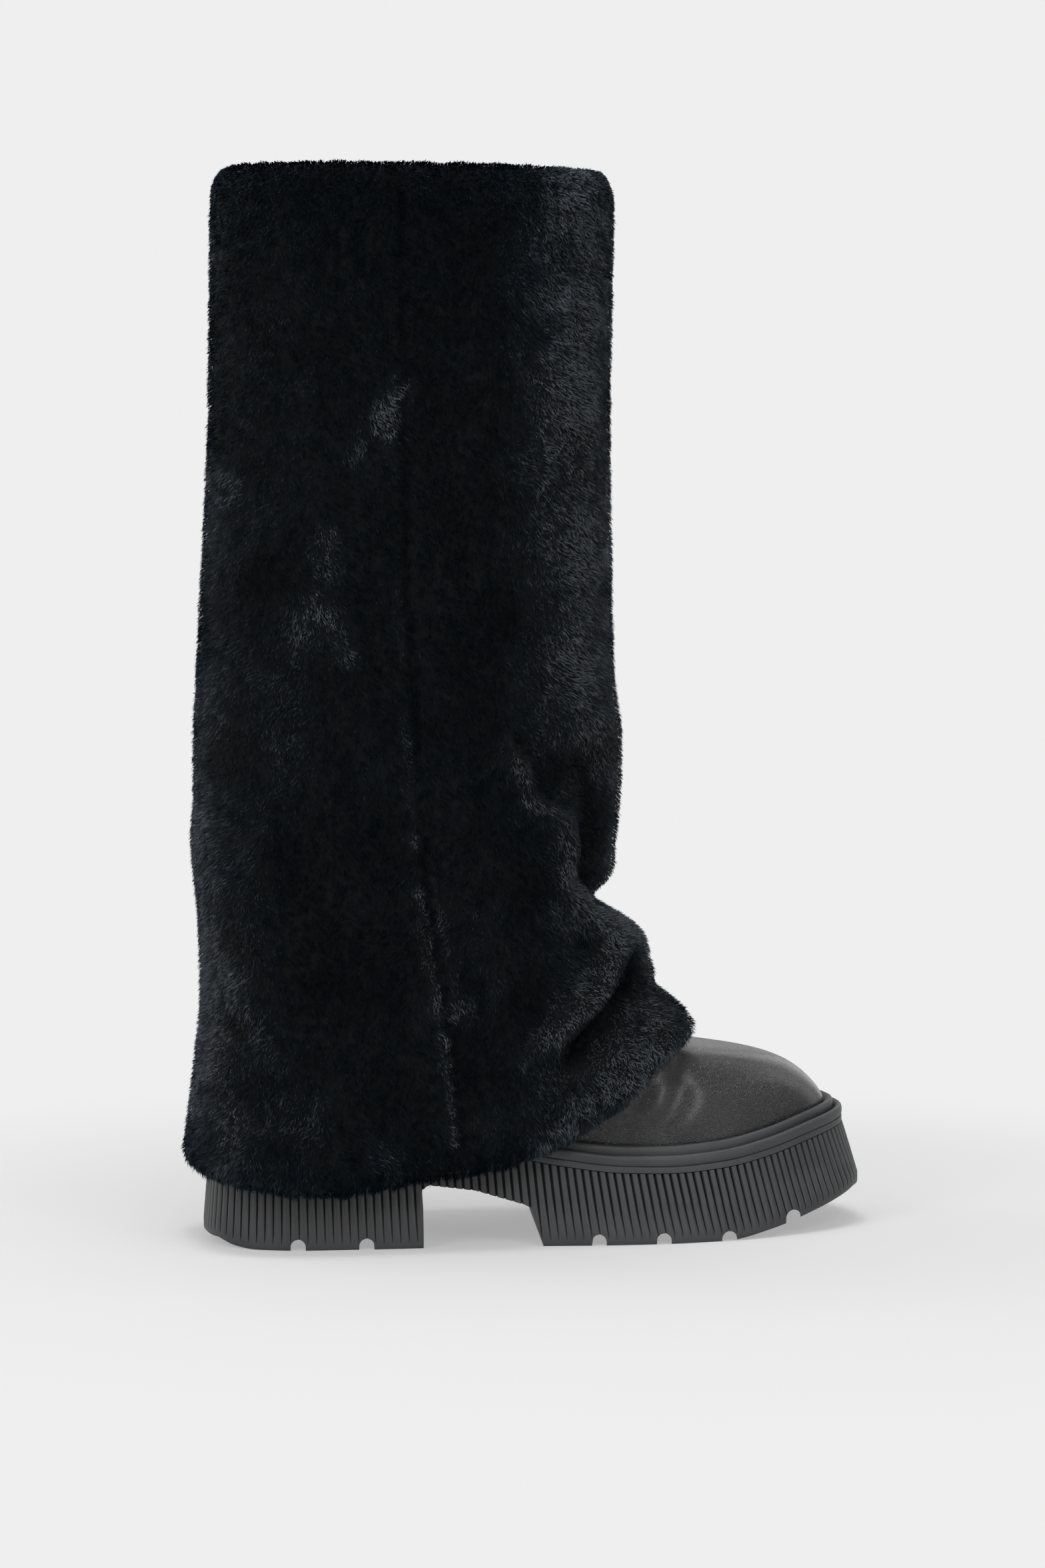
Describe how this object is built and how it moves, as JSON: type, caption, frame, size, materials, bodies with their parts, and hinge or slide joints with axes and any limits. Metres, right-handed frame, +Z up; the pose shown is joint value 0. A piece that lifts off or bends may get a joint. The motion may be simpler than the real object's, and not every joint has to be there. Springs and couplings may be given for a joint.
{
  "type": "fur shaft platform boot",
  "caption": "Tall boot with a thick black lambskin shaft hanging over a plain leather foot, on a chunky ribbed rubber platform sole with a cut-out arch.",
  "frame": {"origin": "on the floor, at the middle land of the heel's tread", "axes": "+X towards the toe, +Y towards the other foot (the medial side of this right boot), +Z up; the sole stands on z = 0"},
  "size_m": [0.2933, 0.1201, 0.4512],
  "materials": {
    "sole_rubber": "matt moulded rubber with ribs",
    "welt_rubber": "smooth satin rubber",
    "vamp_leather": "soft fine-grained leather, satin",
    "insole_leather": "matt lining leather",
    "lambskin": "short dense sheared lambskin pile"
  },
  "bodies": {
    "root": {"outsole": "sole_rubber", "welt": "welt_rubber", "upper": "vamp_leather", "insole": "insole_leather", "shaft": "lambskin"}
  },
  "joints": []
}
